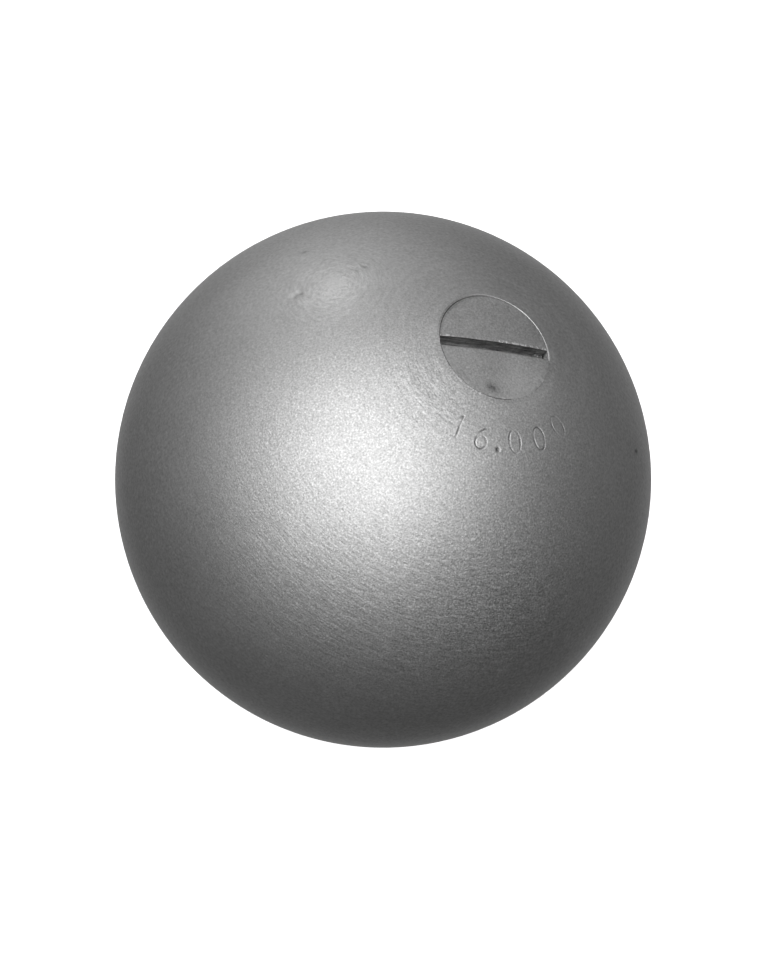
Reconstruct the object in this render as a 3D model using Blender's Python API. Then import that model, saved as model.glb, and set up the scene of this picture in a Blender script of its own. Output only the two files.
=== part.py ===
"""Shot put: a turned cast-iron ball, cored and filled with lead, closed by a flush screw plug.

Metres, +Z up. The origin is the centre of the ball, +Z is the axis of the plug, and +X runs
along the driver slot across the plug's face. Under the plug, from the outside in, lie a sealing
washer, a felt wad and the lead pellets that trim the ball to its weight.
"""

import math

import bmesh
import bpy

# Ball
BALL_DIAMETER = 0.1200
WALL_THICKNESS = 0.0234

# Bore of the plug: thread, run-out groove and throat
THREAD_DIAMETER = 0.0260
RELIEF_WIDTH = 0.0022
RELIEF_DEPTH = 0.0006
THROAT_LENGTH = 0.0068

# Plug: flush with the ball at its rim, and crowned less than the ball
CROWN_RISE = 0.00063
SLOT_WIDTH = 0.0023
SLOT_DEPTH = 0.0032
PLUG_LEAD_IN = 0.0009
SPIGOT_LENGTH = 0.0051
SPIGOT_CLEARANCE = 0.0008
SPIGOT_CHAMFER = 0.0006

# What lies under the plug
WASHER_THICKNESS = 0.0015
WAD_THICKNESS = 0.0035
WAD_EDGE_RADIUS = 0.0008
PELLET_DIAMETER = 0.0061
PELLET_LAYERS = 2
RING_COUNT = 6
DRILL_CLEARANCE = 0.00025

# Gap between pieces that touch, lie in or screw into one another
FIT_GAP = 0.0003

# Facets
TURN_STEPS = 48
BALL_STEPS = 30
CORE_STEPS = 18
CROWN_STEPS = 5
WAD_EDGE_STEPS = 3
PELLET_SEGMENTS = 12
PELLET_RINGS = 8
SHARP_ANGLE = math.radians(30)

# Radii, from the outside in
BALL_RADIUS = BALL_DIAMETER / 2
CAVITY_RADIUS = BALL_RADIUS - WALL_THICKNESS
CORE_RADIUS = CAVITY_RADIUS - FIT_GAP
BORE_RADIUS = THREAD_DIAMETER / 2 + FIT_GAP / 2
PLUG_RADIUS = THREAD_DIAMETER / 2 - FIT_GAP / 2

# Radii of the trimming shot, which lies six round one, and of the drilled well and the throat
# that take it: the drill for the well goes in through the throat
PELLET_RADIUS = PELLET_DIAMETER / 2
PELLET_PITCH = PELLET_DIAMETER + FIT_GAP
WELL_RADIUS = PELLET_PITCH + PELLET_RADIUS + FIT_GAP
THROAT_RADIUS = WELL_RADIUS + DRILL_CLEARANCE
SPIGOT_RADIUS = THROAT_RADIUS - SPIGOT_CLEARANCE
WAD_RADIUS = THROAT_RADIUS - FIT_GAP

# Heights along the axis of the plug, from the throat's foot up to the crown
THROAT_FOOT = math.sqrt(CAVITY_RADIUS**2 - THROAT_RADIUS**2)
SEAT_HEIGHT = THROAT_FOOT + THROAT_LENGTH
WASHER_FOOT = SEAT_HEIGHT + FIT_GAP
PLUG_FOOT = WASHER_FOOT + WASHER_THICKNESS + FIT_GAP
CROWN_RADIUS = (PLUG_RADIUS**2 + CROWN_RISE**2) / (2 * CROWN_RISE)
CROWN_TOP = math.sqrt(BALL_RADIUS**2 - PLUG_RADIUS**2) + CROWN_RISE
SLOT_FLOOR = CROWN_TOP - SLOT_DEPTH

# Heights of the stack under the plug, from the spigot's end down
SPIGOT_END = PLUG_FOOT - SPIGOT_LENGTH
WAD_FOOT = SPIGOT_END - FIT_GAP - WAD_THICKNESS
STACK_TOP = WAD_FOOT - FIT_GAP


def clear_scene():
    for obj in list(bpy.data.objects):
        bpy.data.objects.remove(obj, do_unlink=True)


def finish_material(name, colour, metallic, roughness):
    material = bpy.data.materials.new(name)
    material.use_nodes = True
    shader = material.node_tree.nodes["Principled BSDF"]
    shader.inputs["Base Color"].default_value = (*colour, 1.0)
    shader.inputs["Metallic"].default_value = metallic
    shader.inputs["Roughness"].default_value = roughness
    return material


def add_piece(name, mesh, material, height=0.0, parent=None):
    """One named piece whose origin is on the plug's axis, at this height in the ball's frame."""
    mesh.materials.clear()
    mesh.materials.append(material)
    mesh.shade_smooth()
    mesh.set_sharp_from_angle(angle=SHARP_ANGLE)
    piece = bpy.data.objects.new(name, mesh)
    bpy.context.scene.collection.objects.link(piece)
    piece.parent = parent
    parent_height = parent.location.z if parent else 0.0
    piece.location = (0.0, 0.0, height - parent_height)
    return piece


def arc(radius, start, stop, steps, centre=(0.0, 0.0)):
    """Points (distance from the axis, height) of a circular arc, both ends included."""
    angles = [start + (stop - start) * step / steps for step in range(steps + 1)]
    return [(centre[0] + radius * math.cos(a), centre[1] + radius * math.sin(a)) for a in angles]


def turned_mesh(name, profile, base_height=0.0):
    """The profile turned once round the Z axis. An end on the axis closes into a pole."""
    work = bmesh.new()
    points = [work.verts.new((max(r, 0.0), 0.0, z - base_height)) for r, z in profile]
    edges = [work.edges.new(pair) for pair in zip(points, points[1:])]
    if profile[0][0] > FIT_GAP:
        edges.append(work.edges.new((points[-1], points[0])))
    bmesh.ops.spin(
        work,
        geom=points + edges,
        cent=(0.0, 0.0, 0.0),
        axis=(0.0, 0.0, 1.0),
        angle=math.tau,
        steps=TURN_STEPS,
        use_merge=True,
    )
    bmesh.ops.remove_doubles(work, verts=work.verts, dist=FIT_GAP / 100)
    bmesh.ops.recalc_face_normals(work, faces=work.faces)
    mesh = bpy.data.meshes.new(name)
    work.to_mesh(mesh)
    work.free()
    return mesh


def shell_profile():
    """Up the ball, down the bore over its ledge and throat, and round the cored hollow."""
    mouth = math.acos(BORE_RADIUS / BALL_RADIUS)
    throat = math.acos(THROAT_RADIUS / CAVITY_RADIUS)
    groove = BORE_RADIUS + RELIEF_DEPTH
    groove_top = SEAT_HEIGHT + RELIEF_WIDTH
    return [
        *arc(BALL_RADIUS, -math.pi / 2, mouth, BALL_STEPS),
        (BORE_RADIUS, groove_top),
        (groove, groove_top - RELIEF_DEPTH),
        (groove, SEAT_HEIGHT),
        (THROAT_RADIUS, SEAT_HEIGHT),
        *arc(CAVITY_RADIUS, throat, -math.pi / 2, CORE_STEPS),
    ]


def plug_profile():
    """A low crown, a plain shank, and a spigot that reaches the wad."""
    rim = math.acos(PLUG_RADIUS / CROWN_RADIUS)
    crown_centre = (0.0, CROWN_TOP - CROWN_RADIUS)
    return [
        *arc(CROWN_RADIUS, math.pi / 2, rim, CROWN_STEPS, crown_centre),
        (PLUG_RADIUS, PLUG_FOOT + PLUG_LEAD_IN),
        (PLUG_RADIUS - PLUG_LEAD_IN, PLUG_FOOT),
        (SPIGOT_RADIUS, PLUG_FOOT),
        (SPIGOT_RADIUS, SPIGOT_END + SPIGOT_CHAMFER),
        (SPIGOT_RADIUS - SPIGOT_CHAMFER, SPIGOT_END),
        (0.0, SPIGOT_END),
    ]


def washer_profile():
    inner = SPIGOT_RADIUS + FIT_GAP
    outer = BORE_RADIUS - FIT_GAP
    top = WASHER_FOOT + WASHER_THICKNESS
    return [(outer, top), (outer, WASHER_FOOT), (inner, WASHER_FOOT), (inner, top)]


def wad_profile():
    edge = WAD_EDGE_RADIUS
    top = WAD_FOOT + WAD_THICKNESS
    quarter = math.pi / 2
    return [
        (0.0, top),
        *arc(edge, quarter, 0.0, WAD_EDGE_STEPS, (WAD_RADIUS - edge, top - edge)),
        *arc(edge, 0.0, -quarter, WAD_EDGE_STEPS, (WAD_RADIUS - edge, WAD_FOOT + edge)),
        (0.0, WAD_FOOT),
    ]


def core_profile(well_floor):
    """The cast core, with the flat-bottomed well that was drilled through the throat."""
    well_mouth = math.acos(WELL_RADIUS / CORE_RADIUS)
    return [
        *arc(CORE_RADIUS, -math.pi / 2, well_mouth, CORE_STEPS),
        (WELL_RADIUS, well_floor),
        (0.0, well_floor),
    ]


def pellet_layout():
    """Pellet centres, layer by layer from the bottom, and the height of the floor under them.

    Each layer is one pellet with a ring round it. The rings of the upper layers lie in the hollows
    of the ring below, half a step round, and the middle pellets stand on one another.
    """
    hollow_reach = 2 * PELLET_PITCH * math.sin(math.pi / (2 * RING_COUNT))
    ring_rise = math.sqrt(PELLET_PITCH**2 - hollow_reach**2)
    bottom = STACK_TOP - PELLET_RADIUS - (PELLET_LAYERS - 1) * PELLET_PITCH
    centres = []
    for layer in range(PELLET_LAYERS):
        centres.append((0.0, 0.0, bottom + layer * PELLET_PITCH))
        for place in range(RING_COUNT):
            turn = math.tau * (place + layer / 2) / RING_COUNT
            x = PELLET_PITCH * math.cos(turn)
            y = PELLET_PITCH * math.sin(turn)
            centres.append((x, y, bottom + layer * ring_rise))
    return centres, bottom - PELLET_RADIUS - FIT_GAP


def pellet_mesh():
    work = bmesh.new()
    bmesh.ops.create_uvsphere(
        work, u_segments=PELLET_SEGMENTS, v_segments=PELLET_RINGS, radius=PELLET_RADIUS
    )
    mesh = bpy.data.meshes.new("trim_pellet")
    work.to_mesh(mesh)
    work.free()
    return mesh


def cut_slot(plug, base_height):
    """A square-cornered driver slot right across the crown, flat at its floor."""
    length = 2 * THREAD_DIAMETER
    height = 2 * SLOT_DEPTH
    work = bmesh.new()
    bmesh.ops.create_cube(work, size=1.0)
    bmesh.ops.scale(work, vec=(length, SLOT_WIDTH, height), verts=work.verts)
    bmesh.ops.translate(work, vec=(0.0, 0.0, height / 2), verts=work.verts)
    mesh = bpy.data.meshes.new("slot_cutter")
    work.to_mesh(mesh)
    work.free()
    cutter = bpy.data.objects.new("slot_cutter", mesh)
    bpy.context.scene.collection.objects.link(cutter)
    cutter.parent = plug
    cutter.location.z = SLOT_FLOOR - base_height
    cutter.hide_render = True
    cutter.display_type = "WIRE"
    slot = plug.modifiers.new("driver_slot", "BOOLEAN")
    slot.operation = "DIFFERENCE"
    slot.solver = "EXACT"
    slot.object = cutter


def add_plug_axis():
    """The screw axis of the plug, at the ledge that the washer lies on."""
    axis = bpy.data.objects.new("plug_axis", None)
    axis.empty_display_type = "ARROWS"
    axis.empty_display_size = THREAD_DIAMETER
    axis.location = (0.0, 0.0, SEAT_HEIGHT)
    bpy.context.scene.collection.objects.link(axis)
    return axis


def build_ball(iron, lead, felt):
    centres, well_floor = pellet_layout()
    add_piece("shell", turned_mesh("shell", shell_profile()), iron)
    add_piece("lead_core", turned_mesh("lead_core", core_profile(well_floor)), lead)
    add_piece("felt_wad", turned_mesh("felt_wad", wad_profile(), WAD_FOOT), felt, WAD_FOOT)
    mesh = pellet_mesh()
    for number, centre in enumerate(centres, start=1):
        pellet = add_piece(f"trim_pellet_{number:02d}", mesh, lead)
        pellet.location = centre


def build_plug(steel, fibre):
    axis = add_plug_axis()
    washer = turned_mesh("seal_washer", washer_profile(), WASHER_FOOT)
    add_piece("seal_washer", washer, fibre, WASHER_FOOT, axis)
    plug = add_piece("plug", turned_mesh("plug", plug_profile(), PLUG_FOOT), steel, PLUG_FOOT, axis)
    cut_slot(plug, PLUG_FOOT)


def main():
    clear_scene()
    iron = finish_material("turned_iron", (0.42, 0.42, 0.42), 1.0, 0.42)
    steel = finish_material("turned_steel", (0.44, 0.44, 0.44), 1.0, 0.40)
    lead = finish_material("dull_lead", (0.22, 0.23, 0.25), 0.9, 0.62)
    fibre = finish_material("red_fibre", (0.30, 0.09, 0.06), 0.0, 0.70)
    felt = finish_material("grey_felt", (0.30, 0.29, 0.27), 0.0, 0.95)
    build_ball(iron, lead, felt)
    build_plug(steel, fibre)


main()
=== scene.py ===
"""The looks of the shot put: a turned, silvered iron ball closed by a slotted screw plug.

Mesh code works in millimetres, in the frame of the solids: origin at the centre of the ball, +Z out
along the plug's axis, +X along the driver slot. Azimuth is measured from +X round +Z, and polar angle
from +Z, both in degrees unless a name says otherwise.
"""
import math

import bmesh
import bpy
import numpy as np
from mathutils import Matrix, Vector


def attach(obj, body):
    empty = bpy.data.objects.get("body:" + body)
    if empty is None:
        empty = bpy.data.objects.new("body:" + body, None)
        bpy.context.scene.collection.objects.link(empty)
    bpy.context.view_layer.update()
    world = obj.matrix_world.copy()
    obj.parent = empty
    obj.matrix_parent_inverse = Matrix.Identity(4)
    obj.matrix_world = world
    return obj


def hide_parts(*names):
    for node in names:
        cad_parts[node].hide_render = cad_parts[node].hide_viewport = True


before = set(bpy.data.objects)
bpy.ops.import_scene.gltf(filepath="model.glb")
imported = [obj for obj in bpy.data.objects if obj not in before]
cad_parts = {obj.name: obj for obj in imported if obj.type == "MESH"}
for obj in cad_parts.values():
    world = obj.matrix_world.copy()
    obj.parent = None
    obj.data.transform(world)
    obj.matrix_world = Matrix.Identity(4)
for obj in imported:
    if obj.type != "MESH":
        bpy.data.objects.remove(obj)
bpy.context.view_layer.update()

MM = 0.001
SHARP_ANGLE = 38.0

# Sizes of the solids; the skin lies a hair inside the ball, so that nothing leaves its box.
BALL_RADIUS = 59.994
BORE_RADIUS = 13.15
PLUG_RADIUS = 12.85
CROWN_RISE = 0.63
SLOT_WIDTH = 2.3
SLOT_FLOOR = 56.038
PLUG_FOOT = 44.107
SPIGOT_RADIUS = 9.2
SPIGOT_END = 39.007
SPIGOT_CHAMFER = 0.6
SEAT = 42.007
RELIEF_RADIUS = 13.75
RELIEF_TOP = 44.207
THROAT_RADIUS = 10.0
CAVITY_RADIUS = 36.6
WASHER_FOOT = 42.307
WASHER_TOP = 43.807
WASHER_INNER = 9.5
# Narrower than the solid washer: it rides out through the thread and has to clear its crests.
WASHER_OUTER = 12.1
WASHER_EDGE = 0.2

# The thread, 26 mm by 1.5 mm, right-handed.
PITCH = 1.5
MALE_CREST = 12.8
THREAD_DEPTH = 0.85
THREAD_PLAY = 0.3
THREAD_COLUMNS = 96
CREST_HALF_FLAT = 0.125
ROOT_START = 0.75
THREAD_PHASES = (0.0, 0.125, 0.28, 0.4375, 0.5, 0.5625, 0.72, 0.875)
MALE_TOP = 55.4
FEMALE_TOP = 55.0
FEMALE_FOOT = 44.3
RUN_OUT = 1.0

# The seam round the plug, open, dotted or filled by the finish.
FILLED_LIP = 12.88
MOUTH_BEVEL = 0.17
CROWN_DROP = 0.09
# Where the seam is filled, the finish rounds off the corner between the plug and the ball.
BLEND_WIDTH = 2.2
BLEND_DEPTH = 0.048

# The stamped row of digits.
STAMP_POLAR = 21.4
STAMP_HEIGHT = 5.0
STROKE_HALF_WIDTH = 0.31
STROKE_DEPTH = 0.12
STROKE_LIP = 0.017
DOT_HALF_WIDTH = 0.75
DOT_DEPTH = 0.22

# Where the lathe left the ball: azimuth and polar angle of a small patch with rings of its own.
POLE = (150.1, 36.7)


def smooth(low, high, value):
    """0 below low, 1 above high, and a smooth rise between."""
    share = np.clip((value - low) / (high - low), 0.0, 1.0)
    return share * share * (3.0 - 2.0 * share)


def hump(value, centre, spread):
    """1 at the centre, falling off like a bell over the spread."""
    return np.exp(-(((value - centre) / spread) ** 2))


def graded(*stops):
    """Values from the first stop to the last, cut evenly by the step given with each stop."""
    marks = []
    for (low, step), (high, _) in zip(stops, stops[1:]):
        count = max(1, round((high - low) / step))
        marks.extend(low + (high - low) * i / count for i in range(count))
    return marks + [stops[-1][0]]


def on_ball(azimuth, polar, radius=BALL_RADIUS):
    """The point at that azimuth and polar angle, in millimetres."""
    a, p = math.radians(azimuth), math.radians(polar)
    return Vector((math.sin(p) * math.cos(a), math.sin(p) * math.sin(a), math.cos(p))) * radius


def placed(name, data):
    """A new object in the scene."""
    made = bpy.data.objects.new(name, data)
    bpy.context.scene.collection.objects.link(made)
    return made


class Surface:
    """Points in millimetres and faces, gathered while a piece is built."""

    def __init__(self):
        self.points = []
        self.faces = []

    def row(self, x, y, z):
        """Adds a row of points and gives their numbers."""
        first = len(self.points)
        self.points.extend(zip(*np.broadcast_arrays(*np.atleast_1d(x, y, z))))
        return list(range(first, len(self.points)))

    def ring(self, radius, z, azimuths):
        """Adds a closed ring about the plug's axis; radius and z may differ from point to point."""
        angles = np.radians(azimuths)
        return self.row(radius * np.cos(angles), radius * np.sin(angles), z)

    def face(self, *corners):
        """Adds a face, leaving out repeated corners."""
        kept = list(dict.fromkeys(corners))
        if len(kept) > 2:
            self.faces.append(kept)

    def strip(self, a, b, closed=True):
        """Faces between two rows of equal length."""
        count = len(a) if closed else len(a) - 1
        for i in range(count):
            j = (i + 1) % len(a)
            self.face(a[i], a[j], b[j], b[i])

    def zipper(self, a, azimuths_a, b, azimuths_b):
        """Triangles between two closed rings with different numbers of points."""
        ends_a = list(azimuths_a) + [azimuths_a[0] + 360.0]
        ends_b = list(azimuths_b) + [azimuths_b[0] + 360.0]
        i = j = 0
        while i < len(a) or j < len(b):
            if j == len(b) or (i < len(a) and ends_a[i + 1] <= ends_b[j + 1]):
                self.face(a[i], a[(i + 1) % len(a)], b[j % len(b)])
                i += 1
            else:
                self.face(a[i % len(a)], b[(j + 1) % len(b)], b[j])
                j += 1

    def cap(self, ring, point):
        """Closes a ring with triangles to one point."""
        tip = self.row(*point)[0]
        for i, corner in enumerate(ring):
            self.face(corner, ring[(i + 1) % len(ring)], tip)

    def sheet(self, rows):
        """Faces between open rows of equal length."""
        for a, b in zip(rows, rows[1:]):
            self.strip(a, b, closed=False)

    def lathe(self, ring, profile, azimuths):
        """Carries a ring along a profile of radii and heights, and gives the last ring."""
        for radius, z in profile:
            following = self.ring(radius, z, azimuths)
            self.strip(ring, following)
            ring = following
        return ring

    def make(self, name):
        """The finished object, in metres, smooth but for its sharp edges."""
        mesh = bpy.data.meshes.new(name)
        mesh.from_pydata((np.array(self.points, float) * MM).tolist(), [], self.faces)
        work = bmesh.new()
        work.from_mesh(mesh)
        bmesh.ops.recalc_face_normals(work, faces=work.faces)
        work.to_mesh(mesh)
        work.free()
        mesh.shade_smooth()
        mesh.set_sharp_from_angle(angle=math.radians(SHARP_ANGLE))
        return placed(name, mesh)


def thread_height(z, azimuths):
    """Height of the thread there, from 0 at the root to 1 at the crest."""
    phase = np.mod(z / PITCH - np.asarray(azimuths) / 360.0, 1.0)
    from_crest = np.abs(phase - 0.5) * 2.0
    return np.clip((ROOT_START - from_crest) / (ROOT_START - CREST_HALF_FLAT), 0.0, 1.0)


def male_radius(z, azimuths):
    """The plug's thread: cut back by the lead-in at its foot, and running out below the land."""
    thread = MALE_CREST - THREAD_DEPTH * (1.0 - thread_height(z, azimuths))
    thread = np.minimum(thread, MALE_CREST - THREAD_DEPTH + z - PLUG_FOOT)
    return thread + (PLUG_RADIUS - thread) * smooth(MALE_TOP - RUN_OUT, MALE_TOP, z)


def female_radius(z, azimuths):
    """The bore's thread, clear of the plug's by the play all along."""
    thread = MALE_CREST + THREAD_PLAY - THREAD_DEPTH * (1.0 - thread_height(z, azimuths))
    ends = np.maximum(
        smooth(FEMALE_TOP - RUN_OUT, FEMALE_TOP, z),
        1.0 - smooth(FEMALE_FOOT, FEMALE_FOOT + RUN_OUT / 2.0, z),
    )
    return thread + (BORE_RADIUS - thread) * ends


def helical_band(surface, low, high, radius_at):
    """A band of rows that follow the thread between two level rings, which it gives back."""
    azimuths = np.array(graded((-180.0, 360.0 / THREAD_COLUMNS), (180.0, 0))[:-1])
    foot = surface.ring(radius_at(low, azimuths), low, azimuths)
    top = surface.ring(radius_at(high, azimuths), high, azimuths)
    first_turn = math.floor(low / PITCH) - 2
    turns = math.ceil((high - low) / PITCH) + 4
    rows = []
    for step in range(turns * len(THREAD_PHASES)):
        turn, phase = divmod(step, len(THREAD_PHASES))
        numbers = []
        for i, azimuth in enumerate(azimuths):
            z = PITCH * (first_turn + turn + THREAD_PHASES[phase] + azimuth / 360.0)
            if z <= low:
                numbers.append(foot[i])
            elif z >= high:
                numbers.append(top[i])
            else:
                numbers.extend(surface.ring(radius_at(z, [azimuth]), z, [azimuth]))
        rows.append(numbers)
    surface.sheet(rows)
    # One turn on, the last column meets the first.
    per_turn = len(THREAD_PHASES)
    for step in range(len(rows) - per_turn - 1):
        surface.face(
            rows[step][-1],
            rows[step + per_turn][0],
            rows[step + per_turn + 1][0],
            rows[step + 1][-1],
        )
    return azimuths, foot, top


def ellipse(centre_y, radius_x, radius_y, steps=28):
    """Points round a closed ellipse on the middle line of a punch."""
    angles = [math.radians(360.0 * i / steps) for i in range(steps + 1)]
    return [(radius_x * math.cos(a), centre_y + radius_y * math.sin(a)) for a in angles]


# Strokes of the punches, as shares of their height, from a foot at 0.
PUNCHES = {
    "1": [[(-0.2, 0.76), (0.05, 1.0), (0.05, 0.0)]],
    "6": [
        [(0.2, 0.98), (0.02, 0.88), (-0.14, 0.7), (-0.23, 0.5), (-0.26, 0.28)],
        ellipse(0.28, 0.26, 0.28),
    ],
    "0": [ellipse(0.5, 0.27, 0.5)],
}

# Each blow: the punch, its azimuth, how far it strayed from the row, its tilt and its weight.
BLOWS = (
    ("1", -116.5, 0.1, 5.0, 1.0),
    ("6", -101.5, -0.1, -2.0, 0.95),
    ("0", -81.0, 0.1, 3.0, 0.9),
    ("0", -64.5, -0.15, -4.0, 0.85),
    ("0", -48.5, 0.2, 2.0, 0.8),
)
DOT_AZIMUTH = -91.5
DOT_POLAR = 23.2

# Pits in the skin, and lumps thrown up beside them: azimuth, polar angle, half length, half width, turn
# from the ring and depth.
PITS = (
    (156.0, 43.1, 1.3, 0.9, 100.0, 0.12),
    (157.2, 44.2, 0.9, 0.7, 117.0, 0.1),
    (156.5, 45.0, 0.7, 0.5, 0.0, -0.05),
    (155.1, 44.3, 0.5, 0.7, 0.0, -0.05),
    (136.9, 49.1, 1.5, 0.9, 105.0, 0.08),
    (138.2, 33.2, 1.1, 0.6, 78.0, 0.13),
    (-15.1, 45.0, 0.9, 0.8, 0.0, 0.14),
)
PIT_LIP = 0.3

# Lighter and darker places on the skin, the pole first: azimuth, polar angle, reach and change of tone.
# The lighter spots on the raised lumps beside the pits and by the filled seam are painted light.
SKIN_TONES_AND_PAINTED_LIGHT = (
    (POLE[0] + 5.0, POLE[1] - 1.2, 7.5, 0.13),
    (*POLE, 4.0, 0.05),
    (156.0, 43.0, 1.2, -0.07),
    (157.2, 44.2, 0.8, -0.1),
    (156.5, 45.1, 0.7, 0.2),
    (155.1, 44.3, 0.55, 0.17),
    (136.9, 49.1, 1.2, -0.06),
    (135.7, 50.8, 0.8, 0.04),
    (138.3, 33.2, 0.8, -0.05),
    (-15.9, 44.4, 0.5, -0.12),
    (-15.1, 45.0, 0.55, -0.15),
    (-14.4, 45.8, 0.5, -0.12),
    (-87.0, 55.7, 1.1, 0.07),
    (172.0, 13.2, 2.5, 0.06),
    (-55.0, 14.0, 4.5, 0.07),
    (-33.0, 13.4, 3.0, 0.055),
    (10.0, 15.0, 5.0, -0.03),
)


def stroke_distance(s, t, lines):
    """Distance from each point to the nearest of the lines."""
    best = np.full(s.shape, np.inf)
    for line in lines:
        for (x0, y0), (x1, y1) in zip(line, line[1:]):
            dx, dy = x1 - x0, y1 - y0
            along = np.clip(((s - x0) * dx + (t - y0) * dy) / (dx * dx + dy * dy), 0.0, 1.0)
            best = np.minimum(best, np.hypot(s - x0 - along * dx, t - y0 - along * dy))
    return best


# The metal heaped beside a groove: its place and spread, in half widths of the groove.
LIP_PLACE = 1.3
LIP_SPREAD = 0.45


def pressed(distance, half_width, depth, lip):
    """A pressed groove with the metal heaped a little along its sides."""
    groove = -depth * (1.0 - smooth(0.0, half_width, distance))
    return groove + lip * hump(distance, LIP_PLACE * half_width, LIP_SPREAD * half_width)


def local(azimuths, polar, azimuth, centre_polar, tilt=0.0):
    """Millimetres to the right of a centre on the ball and up from it, towards the plug."""
    away = np.radians(np.mod(azimuths - azimuth + 180.0, 360.0) - 180.0)
    right = BALL_RADIUS * np.sin(np.radians(polar)) * away
    up = BALL_RADIUS * np.radians(centre_polar - polar)
    c, s = math.cos(math.radians(tilt)), math.sin(math.radians(tilt))
    return right * c + up * s, up * c - right * s


# How evenly the punches were struck: the even share of the depth, and the rates at which the rest varies.
STRIKE_EVEN = 0.66
STRIKE_RATES = (1.1, 1.6)


def punch_lines(punch, stray):
    """Strokes of a punch in millimetres, about the middle of its height."""
    return [
        [(x * STAMP_HEIGHT, (y - 0.5) * STAMP_HEIGHT + stray) for x, y in line]
        for line in PUNCHES[punch]
    ]


def skin_relief(azimuths, polar):
    """Height of the ball's skin above the true sphere."""
    height = np.zeros(len(azimuths))
    for punch, azimuth, stray, tilt, weight in BLOWS:
        right, up = local(azimuths, polar, azimuth, STAMP_POLAR, tilt)
        near = np.hypot(right, up) < STAMP_HEIGHT
        right, up = right[near], up[near]
        distance = stroke_distance(right, up, punch_lines(punch, stray))
        wave = np.sin(STRIKE_RATES[0] * right + STRIKE_RATES[1] * up + azimuth)
        uneven = STRIKE_EVEN + (1.0 - STRIKE_EVEN) * wave
        height[near] += weight * uneven * pressed(distance, STROKE_HALF_WIDTH, STROKE_DEPTH, STROKE_LIP)
    right, up = local(azimuths, polar, DOT_AZIMUTH, DOT_POLAR)
    height += pressed(np.hypot(right, up), DOT_HALF_WIDTH, DOT_DEPTH, STROKE_LIP)
    for azimuth, centre_polar, length, width, turn, depth in PITS:
        right, up = local(azimuths, polar, azimuth, centre_polar, turn)
        height += pressed(np.hypot(right / length, up / width), 1.0, depth, PIT_LIP * depth)
    return height


# Columns and rows of the skin, in degrees, each with the step after it; close where there is detail.
MOUTH_COLUMNS = np.array(
    graded((-180, 1.2), (-158, 0.4), (-121, 0.3), (-43, 1.2), (0, 2.5), (180, 0))[:-1]
)
PIT_COLUMNS = np.array(
    graded(
        (-180, 2.5), (-17, 0.3), (-13.4, 2.5),
        (133.0, 0.3), (140.6, 2.5), (151.6, 0.25), (160.0, 2.5), (180, 0),
    )[:-1]
)
PLAIN_COLUMNS = np.array(graded((-180, 2.5), (180, 0))[:-1])
STAMP_FROM = 18.3
# Rows between the seam and the stamp, as shares of the way.
MOUTH_SHARES = (0.02, 0.04, 0.06, 0.09, 0.13, 0.18, 0.25, 0.35, 0.48, 0.6, 0.72, 0.82, 0.91, 1.0)
STAMP_ROWS = graded((STAMP_FROM, 0.1), (24.7, 0))[1:]
PIT_ROWS = graded((25.6, 1.2), (31.8, 0.22), (34.6, 1.2), (40.6, 0.22), (51.6, 1.2), (54.0, 0))
PLAIN_ROWS = graded((56.0, 2.4), (178.0, 0))
SKIN_BANDS = ((MOUTH_COLUMNS, STAMP_ROWS), (PIT_COLUMNS, PIT_ROWS), (PLAIN_COLUMNS, PLAIN_ROWS))

# Stretches of the seam: the azimuths over which each starts and ends.
FILLED_FROM = (-88.0, -76.0)
FILLED_END = -5.0
FILLED_FADE = 3.5
BEADED_FROM = (-160.0, -146.0)
BEADED_TO = (-112.0, -100.0)
NARROW_TO = (-60.0, -40.0)
TIGHT_FROM = (75.0, 115.0)
TIGHT_TO = (-160.0, -140.0)
# How far the finish closes them, 0 open and 1 filled; the beaded and narrow ones add to the open one.
OPEN_FILL = 0.3
BEADED_FILL = 0.5
NARROW_FILL = 0.42
TIGHT_FILL = 0.8
BEAD_FILL = 0.9
# The beads: their rate round the seam, how uneven their spacing is, and their height, place and spread.
BEAD_RATE = 1.35
BEAD_UNEVEN = 1.4
BEAD_UNEVEN_RATE = 0.43
BEAD_HEIGHT = 0.045
BEAD_FROM_LIP = 0.25
BEAD_SPREAD = 0.2
# The bevel's even share of its width, and its wider stretches: azimuth, spread and added share.
BEVEL_EVEN = 0.65
BEVEL_WIDER = ((4.0, 9.0, 0.45), (52.0, 7.0, 0.3), (92.0, 12.0, 0.5))
BEVEL_CLOSED_BY_BEADS = 0.7
BEVEL_LEAST = 0.01


def sector(azimuths, start, end):
    """1 on a stretch of the seam, 0 elsewhere, with a smooth start and end."""
    return smooth(*start, azimuths) * (1.0 - smooth(*end, azimuths))


def filled_sector(azimuths, fade=FILLED_FADE):
    """1 where the finish closes the seam altogether; it fades out towards the slot's end."""
    return sector(azimuths, FILLED_FROM, (FILLED_END - fade, FILLED_END))


def beaded_sector(azimuths):
    """1 where beads of the finish lie on the seam."""
    return sector(azimuths, BEADED_FROM, BEADED_TO)


def seam_dots(azimuths):
    """Where beads of the finish bridge the seam, between 0 and 1."""
    shift = BEAD_UNEVEN * np.sin(azimuths * BEAD_UNEVEN_RATE)
    beads = 0.5 + 0.5 * np.sin(azimuths * BEAD_RATE + shift)
    return beaded_sector(azimuths) * beads**2


def seam_fill(azimuths):
    """How far the finish closes the seam: 0 open, 1 filled."""
    narrowed = OPEN_FILL + BEADED_FILL * beaded_sector(azimuths)
    narrowed = narrowed + NARROW_FILL * sector(azimuths, BEADED_TO, NARROW_TO)
    tight = TIGHT_FILL * (smooth(*TIGHT_FROM, azimuths) + 1.0 - smooth(*TIGHT_TO, azimuths))
    beads = BEAD_FILL * seam_dots(azimuths)
    return np.maximum.reduce([filled_sector(azimuths), beads, narrowed, tight])


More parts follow.
